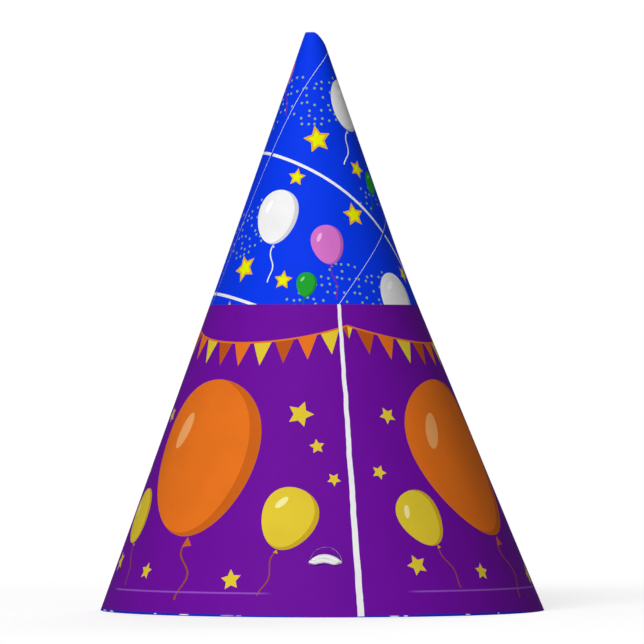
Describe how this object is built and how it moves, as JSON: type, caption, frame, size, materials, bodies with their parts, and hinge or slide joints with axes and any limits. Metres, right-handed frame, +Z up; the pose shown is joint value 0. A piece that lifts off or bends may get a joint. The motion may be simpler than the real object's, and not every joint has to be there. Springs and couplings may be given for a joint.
{
  "type": "party hat",
  "caption": "Cone-shaped party hat rolled from one printed card sheet, open at rim and tip, with an elastic chin strap hooked over half-moon tongues.",
  "frame": {"origin": "centre of the rim circle, on the surface that the hat stands on", "axes": "+Z up to the tip, -Y towards the front half-moon tongue, +X to the viewer's right, -X to the glued lap"},
  "size_m": [0.135, 0.135, 0.1758],
  "materials": {
    "printed_card": "semi-gloss print on white card",
    "elastic": "braided white elastic"
  },
  "bodies": {
    "root": {"card_cone": "printed_card", "chin_elastic": "elastic", "front_loop": "elastic", "back_loop": "elastic"}
  },
  "joints": []
}
